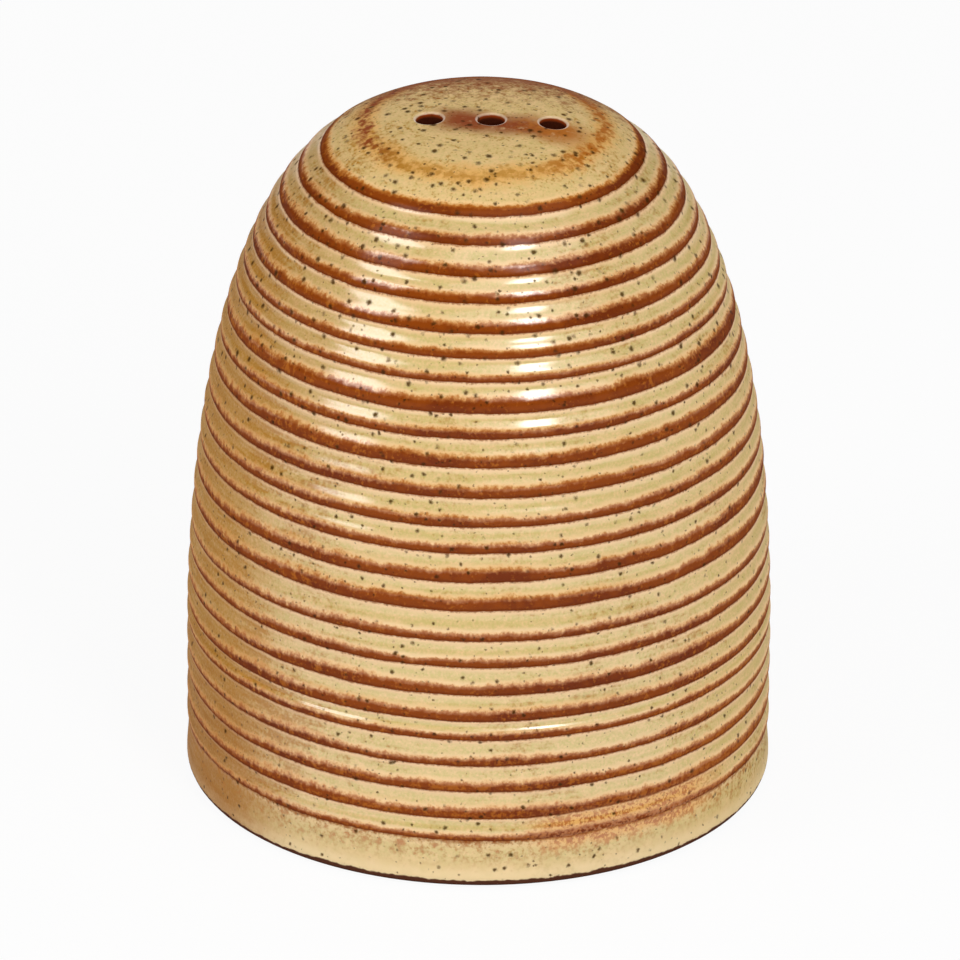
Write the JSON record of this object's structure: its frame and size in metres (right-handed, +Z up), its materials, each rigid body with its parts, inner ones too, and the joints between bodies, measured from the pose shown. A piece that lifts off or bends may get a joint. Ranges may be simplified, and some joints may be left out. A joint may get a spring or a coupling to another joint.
{
  "type": "salt shaker",
  "caption": "Beehive-shaped glazed stoneware shaker with ring grooves, pouring holes in its domed crown, and a soft pull-out stopper closing the filling hole in its recessed base.",
  "frame": {"origin": "centre of the foot ring, on the table", "axes": "+Z up along the axis the body was turned on; the row of pouring holes runs along X, and -Y faces the picture's camera"},
  "size_m": [0.066, 0.066, 0.08],
  "materials": {
    "oatmeal_glaze": "glossy speckled oatmeal glaze over dark stoneware, breaking to red-brown in the ring grooves; bare clay on the foot",
    "stopper_silicone": "matt moulded silicone"
  },
  "bodies": {
    "body": {"stoneware_body": "oatmeal_glaze"},
    "stopper": {"filling_stopper": "stopper_silicone"}
  },
  "joints": [
    {"name": "stopper_pull", "type": "slide", "parent": "body", "child": "stopper", "axis": [0, 0, -1], "range_m": [0, 0.03]}
  ]
}
